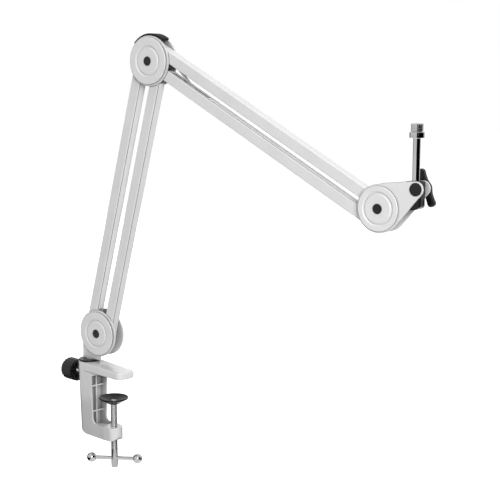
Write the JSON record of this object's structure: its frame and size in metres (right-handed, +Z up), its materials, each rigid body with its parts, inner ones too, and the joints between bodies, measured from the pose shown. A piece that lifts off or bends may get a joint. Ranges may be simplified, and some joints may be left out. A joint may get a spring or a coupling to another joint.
{
  "type": "microphone boom arm",
  "caption": "Desk-clamped microphone boom arm with two parallelogram links, disc joints, a tilting threaded post and a swivelling base.",
  "frame": {"origin": "on the clamp screw axis, in the jaw's lower face, which lies on the desk top", "axes": "+Z up, +X along the arm from the clamp toward the microphone, +Y to the back; the arm folds in a plane parallel to XZ and the clamp is turned 8 degrees under it"},
  "size_m": [0.6196, 0.0654, 0.6462],
  "materials": {
    "clamp_paint": "light silver-grey paint on cast metal",
    "plate_paint": "light silver-grey paint",
    "cap_paint": "light silver-grey paint, satin",
    "tube_paint": "light silver-grey paint, satin",
    "black_plastic": "black, fine grain",
    "black_metal": "black, satin",
    "black_rubber": "black, matt",
    "chrome": "polished",
    "steel": "turned",
    "brass": "turned",
    "nylon": "dark nylon"
  },
  "bodies": {
    "clamp": {"clamp_frame": "clamp_paint", "swivel_bush": "black_plastic"},
    "pad": {"clamp_pad": "black_plastic"},
    "screw": {"clamp_screw": "steel"},
    "handle": {"handle_bar": "chrome", "handle_ball_left": "chrome", "handle_ball_right": "chrome"},
    "lock_shoe": {"lock_tip": "brass"},
    "knob": {"lock_knob": "black_plastic", "lock_stud": "steel"},
    "fork": {"base_fork": "plate_paint", "base_pins": "steel", "base_cap_front": "cap_paint", "base_cap_back": "cap_paint", "base_cap_screws": "black_metal"},
    "lower_left": {"lower_tube_left": "tube_paint", "lower_bushes_left": "nylon", "lower_spring": "steel"},
    "lower_right": {"lower_tube_right": "tube_paint", "lower_bushes_right": "nylon"},
    "elbow": {"elbow_plate_front": "plate_paint", "elbow_plate_back": "plate_paint", "elbow_pins": "steel", "elbow_cap_front": "cap_paint", "elbow_cap_back": "cap_paint", "elbow_cap_screws": "black_metal", "elbow_cover": "black_rubber"},
    "upper_bottom": {"upper_tube_bottom": "tube_paint", "upper_tongue": "steel", "upper_bush_bottom": "nylon", "upper_spring": "steel"},
    "upper_top": {"upper_tube_top": "tube_paint", "upper_bushes_top": "nylon", "spring_strap": "plate_paint"},
    "head": {"head_plate_front": "plate_paint", "head_plate_back": "plate_paint", "head_pins": "steel", "head_cap_front": "cap_paint", "head_cap_back": "cap_paint", "head_cap_screws": "black_metal", "tilt_bolt": "black_metal", "tilt_washer": "nylon"},
    "post": {"post_block": "black_plastic", "post_rod": "chrome"},
    "wing": {"wing_nut": "black_plastic"}
  },
  "joints": [
    {"name": "swivel", "type": "hinge", "parent": "clamp", "child": "fork", "pos_m": [-0.05645, 0.00793, 0.016], "axis": [0, 0, 1], "continuous": true},
    {"name": "lower_lean", "type": "hinge", "parent": "fork", "child": "lower_right", "pos_m": [-0.02354, 0.01773, 0.05692], "axis": [0, 1, 0], "range_deg": [-8, 43]},
    {"name": "lower_follow", "type": "hinge", "parent": "fork", "child": "lower_left", "pos_m": [-0.05854, 0.01773, 0.05692], "axis": [0, 1, 0], "range_deg": [-8, 43]},
    {"name": "elbow_level", "type": "hinge", "parent": "lower_right", "child": "elbow", "pos_m": [0.08153, 0.01773, 0.45323], "axis": [0, 1, 0], "range_deg": [-43, 8]},
    {"name": "upper_swing", "type": "hinge", "parent": "elbow", "child": "upper_bottom", "pos_m": [0.08153, 0.01773, 0.45323], "axis": [0, 1, 0], "range_deg": [-37, 6]},
    {"name": "upper_follow", "type": "hinge", "parent": "elbow", "child": "upper_top", "pos_m": [0.08153, 0.01773, 0.48123], "axis": [0, 1, 0], "range_deg": [-37, 6]},
    {"name": "head_level", "type": "hinge", "parent": "upper_bottom", "child": "head", "pos_m": [0.42683, 0.01773, 0.26978], "axis": [0, 1, 0], "range_deg": [-6, 37]},
    {"name": "post_tilt", "type": "hinge", "parent": "head", "child": "post", "pos_m": [0.49648, 0.01773, 0.31098], "axis": [0, 1, 0], "range_deg": [-60, 95]},
    {"name": "wing_turn", "type": "hinge", "parent": "head", "child": "wing", "pos_m": [0.49648, 0.03573, 0.31098], "axis": [0, 1, 0], "continuous": true},
    {"name": "pad_travel", "type": "slide", "parent": "clamp", "child": "pad", "axis": [0, 0, 1], "range_m": [-0.0315, 0.021]},
    {"name": "screw_turn", "type": "hinge", "parent": "pad", "child": "screw", "pos_m": [0, 0, -0.044], "axis": [0, 0, 1], "range_deg": [-7561, 5041]},
    {"name": "handle_slide", "type": "slide", "parent": "screw", "child": "handle", "axis": [0.8616, 0.5075, 0], "range_m": [-0.023, 0.023]},
    {"name": "shoe_travel", "type": "slide", "parent": "clamp", "child": "lock_shoe", "axis": [-0.9903, 0.1392, 0], "range_m": [0, 0.0025]},
    {"name": "knob_turn", "type": "hinge", "parent": "lock_shoe", "child": "knob", "pos_m": [-0.08417, 0.01183, -0.0083], "axis": [-0.9903, 0.1392, 0], "range_deg": [0, 721]}
  ],
  "couplings": [
    {"joint": "lower_follow", "follows": "lower_lean", "ratio": 1},
    {"joint": "elbow_level", "follows": "lower_lean", "ratio": -1},
    {"joint": "upper_follow", "follows": "upper_swing", "ratio": 1},
    {"joint": "head_level", "follows": "upper_swing", "ratio": -1},
    {"joint": "screw_turn", "follows": "pad_travel", "rad_per_m": 4188.8},
    {"joint": "knob_turn", "follows": "shoe_travel", "rad_per_m": 5026.5}
  ]
}
